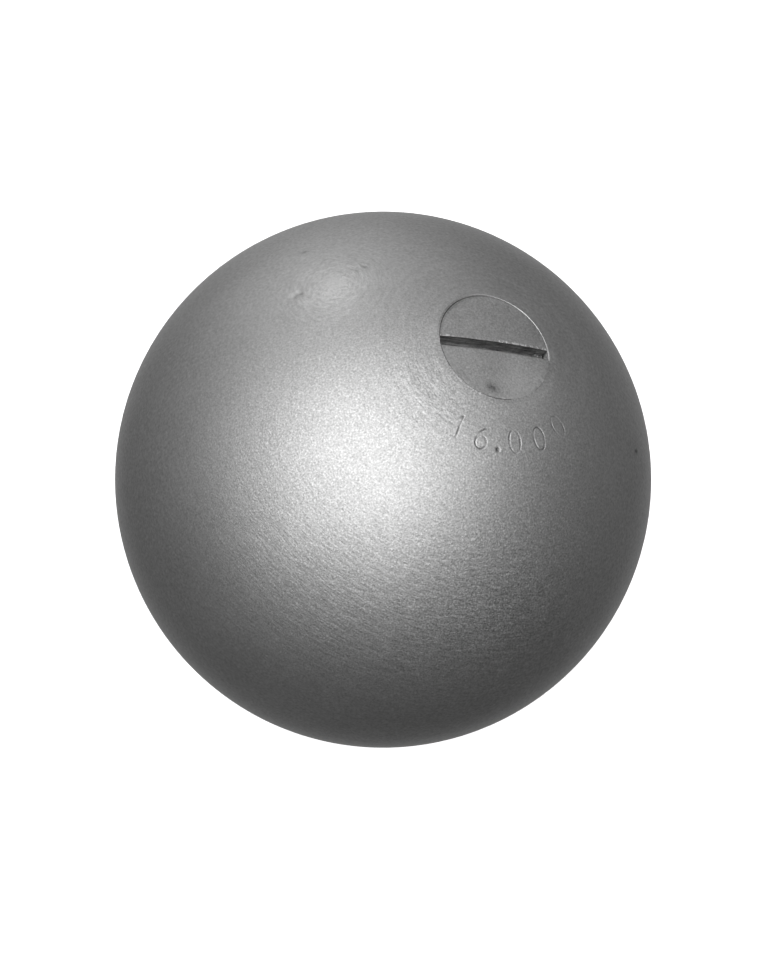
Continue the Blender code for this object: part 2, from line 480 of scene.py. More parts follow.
def mouth_bevel(azimuths):
    """Width of the bevel round the bore's mouth: uneven, and almost none where the seam is filled."""
    width = BEVEL_EVEN
    for centre, spread, share in BEVEL_WIDER:
        width = width + share * hump(azimuths, centre, spread)
    closed = np.maximum(filled_sector(azimuths), BEVEL_CLOSED_BY_BEADS * beaded_sector(azimuths))
    return MOUTH_BEVEL * width * (1.0 - closed) + BEVEL_LEAST


def seam_relief(azimuths, from_lip):
    """Height of the skin beside the seam: beads of the finish, and the rounding where it is filled."""
    near = np.clip(1.0 - from_lip / BLEND_WIDTH, 0.0, 1.0)
    beads = BEAD_HEIGHT * seam_dots(azimuths) * hump(from_lip, BEAD_FROM_LIP, BEAD_SPREAD)
    return beads - BLEND_DEPTH * filled_sector(azimuths) * near**2


# The plain bore above the thread: where the finish's lip ends, and where the bore is at its full width.
LIP_FOOT = 57.9
BORE_TOP = 57.5
BORE_PLAIN_FOOT = 57.0
RELIEF_EDGE = 0.15
SEAT_EDGE = 0.2
CAVITY_END = 176.0
CAVITY_ROWS = 44


def add_bore(s, mouth, lip, lip_top):
    """Down from the seam: lip, thread, relief groove, seat, throat and hollow."""
    plain = ((lip, lip_top), (lip, LIP_FOOT), (BORE_RADIUS, BORE_TOP), (BORE_RADIUS, BORE_PLAIN_FOOT))
    below = s.lathe(mouth, plain, MOUTH_COLUMNS)
    columns, foot, top = helical_band(s, FEMALE_FOOT, FEMALE_TOP, female_radius)
    s.zipper(below, MOUTH_COLUMNS, top, columns)
    inner = [
        (BORE_RADIUS, RELIEF_TOP),
        (RELIEF_RADIUS, RELIEF_TOP - RELIEF_EDGE),
        (RELIEF_RADIUS, SEAT + SEAT_EDGE),
        (RELIEF_RADIUS - SEAT_EDGE, SEAT),
        (THROAT_RADIUS + SEAT_EDGE, SEAT),
        (THROAT_RADIUS, SEAT - SEAT_EDGE),
    ]
    cavity_start = math.degrees(math.asin(THROAT_RADIUS / CAVITY_RADIUS))
    for polar in np.linspace(cavity_start, CAVITY_END, CAVITY_ROWS):
        angle = math.radians(polar)
        inner.append((CAVITY_RADIUS * math.sin(angle), CAVITY_RADIUS * math.cos(angle)))
    s.cap(s.lathe(foot, inner, columns), (0.0, 0.0, -CAVITY_RADIUS))


def skin_ring(s, azimuths, polar, extra=0.0):
    """A ring of the skin with its relief; the polar angle may differ from point to point."""
    radius = BALL_RADIUS + skin_relief(azimuths, polar) + extra
    angle = np.radians(polar)
    return s.ring(radius * np.sin(angle), radius * np.cos(angle), azimuths)


def add_skin(s, mouth, mouth_polar):
    """Over the ball from the seam to the far side."""
    above = mouth
    for share in MOUTH_SHARES:
        polar = mouth_polar + (STAMP_FROM - mouth_polar) * share
        from_lip = BALL_RADIUS * np.radians(polar - mouth_polar)
        ring = skin_ring(s, MOUTH_COLUMNS, polar, seam_relief(MOUTH_COLUMNS, from_lip))
        s.strip(above, ring)
        above = ring
    previous = MOUTH_COLUMNS
    for columns, rows in SKIN_BANDS:
        for polar in rows:
            ring = skin_ring(s, columns, np.full(len(columns), polar))
            if previous is columns:
                s.strip(above, ring)
            else:
                s.zipper(above, previous, ring, columns)
            previous = columns
            above = ring
    s.cap(above, (0.0, 0.0, -BALL_RADIUS))


def shell_mesh():
    """The ball: skin with stamp and pits, seam, tapped bore, relief groove, seat, throat and hollow."""
    s = Surface()
    lip = BORE_RADIUS + (FILLED_LIP - BORE_RADIUS) * seam_fill(MOUTH_COLUMNS)
    bevel = mouth_bevel(MOUTH_COLUMNS)
    edge = lip + bevel
    edge_z = np.sqrt(BALL_RADIUS**2 - edge**2) + seam_relief(MOUTH_COLUMNS, 0.0)
    mouth = s.ring(edge, edge_z, MOUTH_COLUMNS)
    add_bore(s, mouth, lip, edge_z - bevel)
    add_skin(s, mouth, np.degrees(np.arcsin(edge / BALL_RADIUS)))
    return s.make("ball_skin")


# Distances of the crown's first rows from the middle of the slot; the others are stepped by angle.
SLOT_ROWS = (1.15, 1.2, 1.28, 1.4, 1.6, 1.9, 2.3, 2.7)
RIM_STEP = 2.0
CROWN_COLUMNS = 130
# How far the columns crowd towards the ends of a row, from 0 to 1.
COLUMN_CROWDING = 0.35
# Rows down the land and the slot's walls, as shares of the way to the slot's floor.
WALL_LEVELS = (0.05, 0.5, 1.0)
SLOT_FLOOR_ROWS = (0.6, 0.0, -0.6)
LAND_FOOT = 55.75
SPIGOT_FILLET = 0.25
SPIGOT_FACE_SHARES = (0.55, 0.15)

# The burr along the slot: its teeth, its left end, its heights and place, and the rounded near edge.
TEETH_FROM = (0.6, 1.6)
TEETH_TO = (2.8, 4.4)
TEETH_LEFT = 0.35
LEFT_BURR_TO = (-10.8, -9.2)
FAR_BURR = 0.015
NEAR_BURR = 0.012
LEFT_BURR = 0.04
TOOTH_HEIGHT = 0.085
BURR_PLACE = 1.34
BURR_SPREAD = 0.2
NEAR_EDGE_DROP = 0.1
NEAR_EDGE_WIDTH = 0.25
EDGE_WEAR = 0.06

# Dent and rim nick in the plug's face: x, y, half length, half width, skew, depth and lip.
FACE_MARKS = (
    (-1.95, -10.25, 1.4, 0.85, 0.2, 0.06, 0.002),
    (0.1, -12.75, 1.1, 0.3, 0.0, 0.1, 0.0),
)
# Degrees over which the filled rim fades out on the plug's face.
CROWN_FADE = 20.0


def slot_burr(x, y):
    """Height of the metal thrown up along the slot: mostly on the far side, in teeth towards +X."""
    # The rates and phases of these waves only make the burr uneven.
    wave = 0.55 + 0.3 * np.sin(x * 1.9 + 0.8 * np.sign(y)) + 0.15 * np.sin(x * 4.7 + 1.1)
    teeth = 0.5 + 0.5 * np.sin(x * 7.0 + 1.9 * np.sin(x * 1.3))
    thinned = TEETH_LEFT + (1.0 - TEETH_LEFT) * (1.0 - smooth(*TEETH_TO, x))
    ragged = smooth(*TEETH_FROM, x) * thinned * teeth**2
    left_end = 1.0 - smooth(*LEFT_BURR_TO, x)
    far = FAR_BURR * wave + LEFT_BURR * left_end + TOOTH_HEIGHT * ragged
    from_middle = np.abs(y)
    past_edge = (from_middle - SLOT_ROWS[0]) / NEAR_EDGE_WIDTH
    rounded = np.where(y < 0.0, NEAR_EDGE_DROP * np.clip(1.0 - past_edge, 0.0, 1.0) ** 2, 0.0)
    height = np.where(y > 0.0, far, NEAR_BURR * wave)
    return height * hump(from_middle, BURR_PLACE, BURR_SPREAD) - rounded


def crown_relief(x, y):
    """Height of the plug's face above its crown: burr, a dent, a nick at the rim, and the filled rim."""
    height = slot_burr(x, y)
    for mark_x, mark_y, length, width, skew, depth, lip in FACE_MARKS:
        right, up = x - mark_x, y - mark_y
        height += pressed(np.hypot(right / length, (up + skew * right) / width), 1.0, depth, lip)
    filled = filled_sector(np.degrees(np.arctan2(y, x)), fade=CROWN_FADE)
    from_rim = PLUG_RADIUS - np.hypot(x, y)
    near = np.clip(1.0 - from_rim / BLEND_WIDTH, 0.0, 1.0)
    return height + filled * (CROWN_DROP * smooth(0.0, 1.0, near) - BLEND_DEPTH * near**2)


def slot_nick(x):
    """How far the slot's edge is worn back, nothing at its ends."""
    worn = 0.5 + 0.5 * np.sin(x * 1.7 + 2.1 * np.sin(x * 0.61 + 0.4))
    return EDGE_WEAR * worn**3 * (1.0 - (x / PLUG_RADIUS) ** 8)


def crown_sphere():
    """Radius and top of the low crown, which lies a little sunk in the ball's mouth."""
    radius = (PLUG_RADIUS**2 + CROWN_RISE**2) / (2.0 * CROWN_RISE)
    top = math.sqrt(BALL_RADIUS**2 - PLUG_RADIUS**2) + CROWN_RISE - CROWN_DROP
    return radius, top


def crown_height(x, y):
    """The plug's face with its marks."""
    radius, top = crown_sphere()
    return top - radius + np.sqrt(radius**2 - x**2 - y**2) + crown_relief(x, y)


def crown_rows():
    """Distances of the crown's rows from the middle of the slot."""
    last = math.degrees(math.asin(SLOT_ROWS[-1] / PLUG_RADIUS))
    angles = graded((last, RIM_STEP), (90.0, 0))[1:-1]
    return list(SLOT_ROWS) + [PLUG_RADIUS * math.sin(math.radians(a)) for a in angles]


def column_shares():
    """Places of the columns along a row, from 1 at its right end to -1 at its left."""
    crowded = np.cos(np.linspace(0.0, math.pi, CROWN_COLUMNS + 1))
    even = np.linspace(1.0, -1.0, CROWN_COLUMNS + 1)
    return crowded * COLUMN_CROWDING + even * (1.0 - COLUMN_CROWDING)


def half_crown(s, sign, shares):
    """The plug's face on one side of the slot; gives its edge along the slot and its rim."""
    rows = []
    for number, y in enumerate(crown_rows()):
        x = math.sqrt(PLUG_RADIUS**2 - y * y) * shares
        worn = slot_nick(x) if number == 0 else 0.0
        across = sign * (y + worn)
        rows.append(s.row(x, across, crown_height(x, across)))
    s.sheet(rows)
    tip = s.row(0.0, sign * PLUG_RADIUS, crown_height(0.0, sign * PLUG_RADIUS))[0]
    for a, b in zip(rows[-1], rows[-1][1:]):
        s.face(a, b, tip)
    rim = [row[0] for row in rows] + [tip] + [row[-1] for row in reversed(rows)]
    return rows[0], rim


def half_plug(s, sign, shares):
    """One side of the plug down to the slot's floor; gives the feet of its land and of the slot's wall."""
    edge, rim = half_crown(s, sign, shares)
    x, y, z = np.array([s.points[i] for i in rim]).T
    land = [rim] + [s.row(x, y, z + (SLOT_FLOOR - z) * level) for level in WALL_LEVELS]
    s.sheet(land)
    x, y, z = np.array([s.points[i] for i in edge]).T
    straight = sign * SLOT_ROWS[0]
    wall = [edge]
    for level, ends in zip(WALL_LEVELS, land[1:]):
        settled = straight + (y - straight) * (1.0 - level)
        inner = s.row(x[1:-1], settled[1:-1], (z + (SLOT_FLOOR - z) * level)[1:-1])
        wall.append([ends[0]] + inner + [ends[-1]])
    s.sheet(wall)
    return land[-1], wall[-1]


def plug_mesh():
    """The plug: crowned face with a sawn slot, land, thread, lead-in and spigot."""
    s = Surface()
    shares = column_shares()
    far_land, far_wall = half_plug(s, 1.0, shares)
    near_land, near_wall = half_plug(s, -1.0, shares)

    # The slot's floor, whose ends follow the plug's side.
    floor = [s.row(math.sqrt(PLUG_RADIUS**2 - y * y) * shares, y, SLOT_FLOOR) for y in SLOT_FLOOR_ROWS]
    s.sheet([far_wall] + floor + [near_wall])

    # The side below the slot, all the way round.
    left = [row[-1] for row in floor]
    right = [row[0] for row in reversed(floor)]
    around = far_land + left + near_land[::-1] + right
    azimuths = np.degrees([math.atan2(s.points[i][1], s.points[i][0]) for i in around])
    order = np.argsort(azimuths)
    around = [around[i] for i in order]
    azimuths = azimuths[order]
    land = s.lathe(around, ((PLUG_RADIUS, LAND_FOOT),), azimuths)
    columns, foot, top = helical_band(s, PLUG_FOOT, MALE_TOP, male_radius)
    s.zipper(land, azimuths, top, columns)
    spigot = [
        (SPIGOT_RADIUS + SPIGOT_FILLET, PLUG_FOOT),
        (SPIGOT_RADIUS, PLUG_FOOT - SPIGOT_FILLET),
        (SPIGOT_RADIUS, SPIGOT_END + SPIGOT_CHAMFER),
        (SPIGOT_RADIUS - SPIGOT_CHAMFER, SPIGOT_END),
    ]
    spigot += [(share * SPIGOT_RADIUS, SPIGOT_END) for share in SPIGOT_FACE_SHARES]
    s.cap(s.lathe(foot, spigot, columns), (0.0, 0.0, SPIGOT_END))
    return s.make("screw_plug")


EDGE_ANGLES = (0.0, 30.0, 60.0, 90.0)


def washer_mesh():
    """The washer, with its edges rounded off by the punch that cut it."""
    s = Surface()
    middle = (WASHER_INNER + WASHER_OUTER) / 2.0
    half_width = (WASHER_OUTER - WASHER_INNER) / 2.0
    section = []
    for level, step in ((WASHER_TOP - WASHER_EDGE, 1.0), (WASHER_FOOT + WASHER_EDGE, -1.0)):
        for side in (step, -step):
            for angle in EDGE_ANGLES:
                turn = math.radians(angle if side == step else 90.0 - angle)
                reach = half_width - WASHER_EDGE + WASHER_EDGE * math.cos(turn)
                section.append((middle + side * reach, level + step * WASHER_EDGE * math.sin(turn)))
    rings = [s.ring(radius, z, PLAIN_COLUMNS) for radius, z in section]
    for a, b in zip(rings, rings[1:] + rings[:1]):
        s.strip(a, b)
    return s.make("sealing_washer")


class Graph:
    """A node tree with short calls for the nodes used here."""

    def __init__(self, tree):
        self.tree = tree

    def node(self, kind, inputs=(), **settings):
        made = self.tree.nodes.new("ShaderNode" + kind)
        for key, value in settings.items():
            setattr(made, key, value)
        pairs = inputs.items() if isinstance(inputs, dict) else enumerate(inputs)
        for socket, value in pairs:
            self.feed(made.inputs[socket], value)
        return made

    def feed(self, socket, value):
        if isinstance(value, bpy.types.NodeSocket):
            self.tree.links.new(value, socket)
        else:
            socket.default_value = value

    def math(self, operation, *values):
        return self.node("Math", values, operation=operation).outputs[0]

    def measure(self, operation, *vectors):
        """A number made from vectors."""
        return self.node("VectorMath", vectors, operation=operation).outputs["Value"]

    def mix(self, share, a, b):
        """a where share is 0, b where it is 1."""
        return self.node("Mix", {0: share, 2: a, 3: b}, data_type="FLOAT").outputs[0]

    def rise(self, value, low, high):
        """0 below low, 1 above high, smooth between."""
        inputs = {"Value": value, "From Min": low, "From Max": high}
        return self.node("MapRange", inputs, interpolation_type="SMOOTHSTEP").outputs["Result"]

    def noise(self, vector, scale, detail=2.0):
        """Noise about 0, mostly between -0.5 and 0.5."""
        made = self.node("TexNoise", {"Vector": vector, "Scale": scale, "Detail": detail})
        return self.math("SUBTRACT", made.outputs["Fac"], 0.5)

    def vector(self, x, y, z):
        return self.node("CombineXYZ", (x, y, z)).outputs[0]

    def product(self, first, *others):
        for value in others:
            first = self.math("MULTIPLY", first, value)
        return first

    def without(self, value):
        """What the value leaves of 1."""
        return self.math("SUBTRACT", 1.0, value)

    def total(self, *terms):
        """The sum of (value, weight) pairs."""
        made = 0.0
        for value, weight in terms:
            made = self.math("MULTIPLY_ADD", value, weight, made)
        return made


class Finish(Graph):
    """A material whose nodes start from the place on the piece, in millimetres."""

    def __init__(self, name):
        self.material = bpy.data.materials.new(name)
        self.material.use_nodes = True
        super().__init__(self.material.node_tree)
        self.shader = self.tree.nodes["Principled BSDF"]
        place = self.node("TexCoord").outputs["Object"]
        self.place = self.node("VectorMath", (place, (1.0 / MM,) * 3), operation="MULTIPLY").outputs[0]
        self.x, self.y, self.z = self.node("SeparateXYZ", (self.place,)).outputs

    def distance(self, point):
        return self.measure("DISTANCE", self.place, tuple(point))

    def along(self, direction):
        """How far the place lies along a direction."""
        return self.measure("DOT_PRODUCT", self.place, tuple(direction))

    def stretched(self, *rates):
        """The place with each axis scaled by its rate."""
        return self.node("VectorMath", (self.place, rates), operation="MULTIPLY").outputs[0]

    def put(self, socket, value):
        """Sets a socket of the shader, or links it."""
        self.feed(self.shader.inputs[socket], value)

    def grey(self, value):
        self.put("Base Color", self.vector(value, value, value))

    def tint(self, value, colour):
        """Base colour: the colour times a value that varies over the piece."""
        channels = [self.math("MULTIPLY", value, c) for c in colour]
        self.put("Base Color", self.vector(*channels))

    def surface(self, roughness, height):
        """Roughness, and the bump of a height in millimetres."""
        self.put("Roughness", roughness)
        bump = self.node("Bump", {"Strength": 1.0, "Distance": MM, "Height": height})
        self.put("Normal", bump.outputs["Normal"])


# Noise of the lathe's marks: its rates round the axis and along the polar angle.
STREAK_ROUND = 16.0
STREAK_ACROSS = 85.0
SWIRL_ROUND = 4.0
SWIRL_ACROSS = 90.0
LEAST_REACH = 0.05
# The grain, and the wider grain that takes its place where it is soft.
GRAIN_SCALE = 2.5
WIDE_GRAIN_SCALE = 1.5
# Share of the broadest of the grain's three octaves.
BROAD_SHARE = 1.0 / 1.75
# The side that the photograph shows face-on, and the cosines from it where the grain is soft and crisp.
FACE_AZIMUTH = -122.0
FACE_POLAR = 41.3
FACE_FADES = 0.5
FACE_FULL = 0.95
# Weights of the grain's parts where it is soft and where it is crisp.
FINE_WEIGHTS = (0.1, 1.06)
BROAD_WEIGHTS = (0.33, 1.0)
WIDE_WEIGHTS = (0.28, 0.0)
CLOUD_SCALE = 0.06
BLOTCH_SCALE = 0.4
SILVER = 0.55
STEEL_SILVER = SILVER + 0.012

# Places on the skin: azimuth, polar angle and reach.
COARSE_SPOT = (-78.0, 61.0, 21.0)
STREAKS_BELOW = (-118.0, 64.0, 32.0)
STREAKS_BY_PLUG = (-150.0, 22.0, 12.0)
STRONG_RINGS = (-130.0, 20.0, 9.0)
CALM_SPOT = (*POLE, 17.0)
POLE_EYE = (*POLE, 2.2)
POLE_WHIRL = (*POLE, 10.5)
SIDE_WHIRL = (163.0, 40.0, 5.0)
SIDE_WHIRL_SHARE = 0.35
SEAM_POLAR = 12.65
BEAD_SPOT = (-130.0, SEAM_POLAR, 5.5)
# Painted shade: a darker stretch beside the seam.
PAINTED_SHADE_SPOT = (143.0, SEAM_POLAR, 6.0)
# Painted highlight: a bright line on the rim of the mouth.
PAINTED_GLINT_SPOT = (95.0, 12.9, 3.0)

# Rings round the plug: their rate, the polar angles over which they fade, and how they stray.
RING_SCALE = 34.0
RING_FADE = (17.0, 34.0)
RING_STRAY = 1.5
RING_STRAY_SCALE = 0.05
# Distances from the seam within which its tones are full and beyond which they end.
BESIDE_SEAM = (0.2, 0.45)
PAINTED_GLINT_WIDTH = (0.06, 0.2)
# The beads' noise and the levels of it between which a bead rises.
LUMP_SCALE = 1.5
LUMP_RISE = (0.03, 0.1)

# Dirt and painted shade in whatever lies below the skin: none by the filled seam, less on the rubbed lip
# of the mouth and round the pole.
DIRT_AND_SHADE_DEPTH = (0.03, 0.1)
DIRT_AND_SHADE_TONE = 0.5
CALM_DIRT_AND_SHADE = 0.3
FILLED_MIDDLE = -43.0
FILLED_REACH = (8.5, 9.5)
FILLED_POLAR = 15.5
RUBBED_POLAR = 13.1
RUBBED_DEPTH = 0.4
RUBBED_DIRT_AND_SHADE = 0.35
BORE_DEPTH = (0.35, 0.8)
BORE_TONE = 1.3
# Painted light on the bore's wall at the slot's end: its place, reach and tone.
SLOT_END_PAINTED_LIGHT = ((13.2, 0.0, 58.0), 1.3)
SLOT_END_PAINTED_LIGHT_TONE = 1.25


def turned_marks(f, place, along, across):
    """Noise drawn out along circles about +Z, as a lathe tool leaves it, and the polar angle."""
    x, y, z = f.node("SeparateXYZ", (place,)).outputs
    reach = f.math("SQRT", f.math("MULTIPLY_ADD", x, x, f.math("MULTIPLY", y, y)))
    safe = f.math("MAXIMUM", reach, LEAST_REACH)
    polar = f.math("ARCTAN2", reach, z)
    round_x = f.math("MULTIPLY", f.math("DIVIDE", x, safe), along)
    round_y = f.math("MULTIPLY", f.math("DIVIDE", y, safe), along)
    marks = f.noise(f.vector(round_x, round_y, f.math("MULTIPLY", polar, across)), 1.0)
    return marks, polar


def bell(f, point, reach):
    """1 at a point, falling off like a bell over the reach."""
    away = f.math("DIVIDE", f.distance(point), reach)
    return f.math("EXPONENT", f.math("MULTIPLY", f.math("MULTIPLY", away, away), -1.0))


def spot(f, azimuth, polar, reach):
    """The bell about a point of the skin."""
    return bell(f, on_ball(azimuth, polar), reach)


def skin_grain(f):
    """Grain of the skin: crisp on the side that the photograph shows face-on, softer beyond it."""
    crisp = f.rise(f.along(on_ball(FACE_AZIMUTH, FACE_POLAR, 1.0 / BALL_RADIUS)), FACE_FADES, FACE_FULL)
    grain = f.noise(f.place, GRAIN_SCALE)
    broad = f.math("MULTIPLY", f.noise(f.place, GRAIN_SCALE, detail=0.0), BROAD_SHARE)
    fine = f.math("SUBTRACT", grain, broad)
    wide = f.noise(f.place, WIDE_GRAIN_SCALE, detail=0.0)
    return f.total(
        (fine, f.mix(crisp, *FINE_WEIGHTS)),
        (broad, f.mix(crisp, *BROAD_WEIGHTS)),
        (wide, f.mix(crisp, *WIDE_WEIGHTS)),
    )


def plug_rings(f, polar):
    """Rings that fade away from the plug."""
    fade_from, fade_to = (math.radians(angle) for angle in RING_FADE)
    near_plug = f.without(f.rise(polar, fade_from, fade_to))
    stray = f.product(f.noise(f.place, RING_STRAY_SCALE), RING_STRAY)
    lines = f.vector(0.0, stray, f.product(polar, RING_SCALE))
    strong = f.math("ADD", 1.0, spot(f, *STRONG_RINGS))
    return f.product(f.noise(lines, 1.0), f.product(near_plug, strong))


def pole_swirl(f):
    """Rings about the pole, with a still eye."""
    pole_axis = on_ball(*POLE, 1.0)
    upright = tuple(pole_axis.rotation_difference(Vector((0.0, 0.0, 1.0))).to_euler())
    turned = f.node("VectorRotate", {"Vector": f.place, "Rotation": upright}, rotation_type="EULER_XYZ")
    marks, _ = turned_marks(f, turned.outputs[0], SWIRL_ROUND, SWIRL_ACROSS)
    whirl = f.math("SUBTRACT", spot(f, *POLE_WHIRL), spot(f, *POLE_EYE))
    whirl = f.math("MULTIPLY_ADD", spot(f, *SIDE_WHIRL), SIDE_WHIRL_SHARE, whirl)
    return f.product(marks, whirl)


def seam_tones(f, beside):
    """Beads of the finish beside the seam, and a stretch of painted shade beside it."""
    lumps = f.rise(f.noise(f.place, LUMP_SCALE), *LUMP_RISE)
    return f.product(beside, lumps, spot(f, *BEAD_SPOT)), f.product(beside, spot(f, *PAINTED_SHADE_SPOT))


def near_polar(f, polar, centre, full, none):
    """1 near a polar angle, with the distances from it in millimetres along the skin."""
    away = f.math("ABSOLUTE", f.math("SUBTRACT", polar, math.radians(centre)))
    return f.without(f.rise(away, full / BALL_RADIUS, none / BALL_RADIUS))


def skin_tone_factor(f, polar, calm):
    """Factor on the tone: dirt and painted shade in whatever lies below the skin, the lighter bore, and
    painted light on the bore's wall at the slot's end.
    """
    depth = f.math("SUBTRACT", BALL_RADIUS, f.measure("LENGTH", f.place))
    on_filled_side = f.rise(f.along(on_ball(FILLED_MIDDLE, 90.0, 1.0)), *FILLED_REACH)
    filled = f.product(on_filled_side, f.math("LESS_THAN", polar, math.radians(FILLED_POLAR)))
    on_lip = f.math("LESS_THAN", polar, math.radians(RUBBED_POLAR))
    rubbed = f.product(on_lip, f.math("LESS_THAN", depth, RUBBED_DEPTH))
    # Dirt and painted shade: darker wherever the place lies below the skin.
    dirt_and_shade = f.product(f.rise(depth, *DIRT_AND_SHADE_DEPTH), f.without(filled))
    dirt_and_shade = f.product(dirt_and_shade, f.mix(calm, 1.0, CALM_DIRT_AND_SHADE), f.mix(rubbed, 1.0, RUBBED_DIRT_AND_SHADE))
    in_bore = f.mix(f.rise(depth, *BORE_DEPTH), 1.0, BORE_TONE)
    tone_factor = f.product(f.mix(dirt_and_shade, 1.0, DIRT_AND_SHADE_TONE), in_bore)
    # The bore's wall at the slot's end is lighter: painted light.
    return f.mix(bell(f, *SLOT_END_PAINTED_LIGHT), tone_factor, SLOT_END_PAINTED_LIGHT_TONE)


def turned_iron():
    f = Finish("turned_iron_silver")
    marks, polar = turned_marks(f, f.place, STREAK_ROUND, STREAK_ACROSS)
    coarse = spot(f, *COARSE_SPOT)
    below, by_plug = spot(f, *STREAKS_BELOW), spot(f, *STREAKS_BY_PLUG)
    marks = f.product(marks, f.total((below, 0.65), (by_plug, 0.7), (coarse, 0.7), (1.0, 0.15)))
    calm = spot(f, *CALM_SPOT)
    lively = f.product(f.mix(coarse, 1.0, 1.7), f.mix(calm, 1.0, 0.6))
    grain = f.product(skin_grain(f), lively)
    specks = f.math("MAXIMUM", f.math("SUBTRACT", grain, 0.1), 0.0)
    cloud = f.noise(f.place, CLOUD_SCALE)
    rings = plug_rings(f, polar)
    swirl = pole_swirl(f)
    # The shade beside the seam is painted shade.
    beads, shade = seam_tones(f, near_polar(f, polar, SEAM_POLAR, *BESIDE_SEAM))
    # A painted highlight along the rim of the mouth.
    painted_glint = f.product(near_polar(f, polar, PAINTED_GLINT_SPOT[1], *PAINTED_GLINT_WIDTH), spot(f, *PAINTED_GLINT_SPOT))
    # The skin's tone table holds painted light on the lumps beside the pits and by the filled seam.
    tone = f.total(
        (grain, 0.68), (specks, 0.5), (marks, 0.28), (rings, 0.2), (swirl, 0.45), (cloud, 0.08),
        (beads, 0.11), (shade, -0.15), (painted_glint, 0.3), (1.0, SILVER),
        *((spot(f, *place), change) for *place, change in SKIN_TONES_AND_PAINTED_LIGHT),
    )
    f.grey(f.product(tone, skin_tone_factor(f, polar, calm)))
    f.put("Metallic", 1.0)
    roughness = f.total((marks, 0.02), (grain, 0.02), (1.0, 0.61))
    f.surface(roughness, f.total((marks, 0.095), (grain, 0.052), (rings, 0.08), (swirl, 0.2)))
    return f.material


# The plug's finish: bare steel below the land, dirt and painted shade below the crown, and the sawn slot.
BARE_FADE = 0.15
PLUG_DIRT_AND_SHADE_DEPTH = (0.03, 0.13)
SLOT_DEPTH = (0.25, 0.7)
SLOT_MARGIN = 0.05
SLOT_TONES = (1.38, 1.1)
SLOT_TONES_CHANGE = (8.5, 12.0)
SAW_RATES = (0.3, 1.0, 4.5)
# The worn far edge of the slot: where it starts and ends across it, and its noise.
WEAR_STARTS = (-0.02, 0.06)
WEAR_ENDS = (0.1, 0.85)
TICK_RATES = (1.9, 1.1, 0.0)
TICK_RISE = (-0.05, 0.12)
# The wear at the slot's left end, and its changes along the slot: from and to which x, and by how much.
WEAR_LEFT = 0.5
WEAR_CHANGES = ((-11.0, -9.4, -0.4), (0.4, 1.4, 0.5), (0.4, 2.0, 0.4), (3.0, 4.6, -0.5))
# The brighter quarter of the plug's face.
QUARTER_X = 6.5
QUARTER_Y = -7.0
QUARTER_FADE = (1.0, 8.0)
# The smudge in the dent: two overlapping places with their reach.
SMUDGE_LEFT = ((-2.5, -10.15, 58.72), 1.1)
SMUDGE_RIGHT = ((-1.5, -10.4, 58.7), 1.1)
# Lighter and darker places on the plug, by the filled rim, by the slot's end, in and by the smudge, and
# two painted highlights on chips in the slot: place, reach and change of tone.
PLUG_TONES = (
    ((4.4, -11.3, 58.5), 3.6, 0.06),
    ((11.2, 4.0, 58.6), 5.0, -0.07),
    ((-1.75, -10.3, 58.71), 0.65, -0.114),
    ((-0.7, -11.4, 58.65), 0.9, -0.06),
    # Two painted highlights on chips in the slot.
    ((11.1, 1.12, 56.2), 0.2, 1.3),
    ((11.7, 1.0, 56.1), 0.18, 1.3),
)
RIM_REACH = (12.25, 12.5)


def edge_wear(f, clear):
    """The slot's far edge, worn bright in places."""
    past_edge = f.math("SUBTRACT", f.y, SLOT_WIDTH / 2.0)
    fringe = f.math("SUBTRACT", f.rise(past_edge, *WEAR_STARTS), f.rise(past_edge, *WEAR_ENDS))
    ticks = f.rise(f.noise(f.stretched(*TICK_RATES), 1.0, detail=3.0), *TICK_RISE)
    share = f.total((1.0, WEAR_LEFT), *((f.rise(f.x, *span), change) for *span, change in WEAR_CHANGES))
    return f.product(fringe, clear, ticks, share)


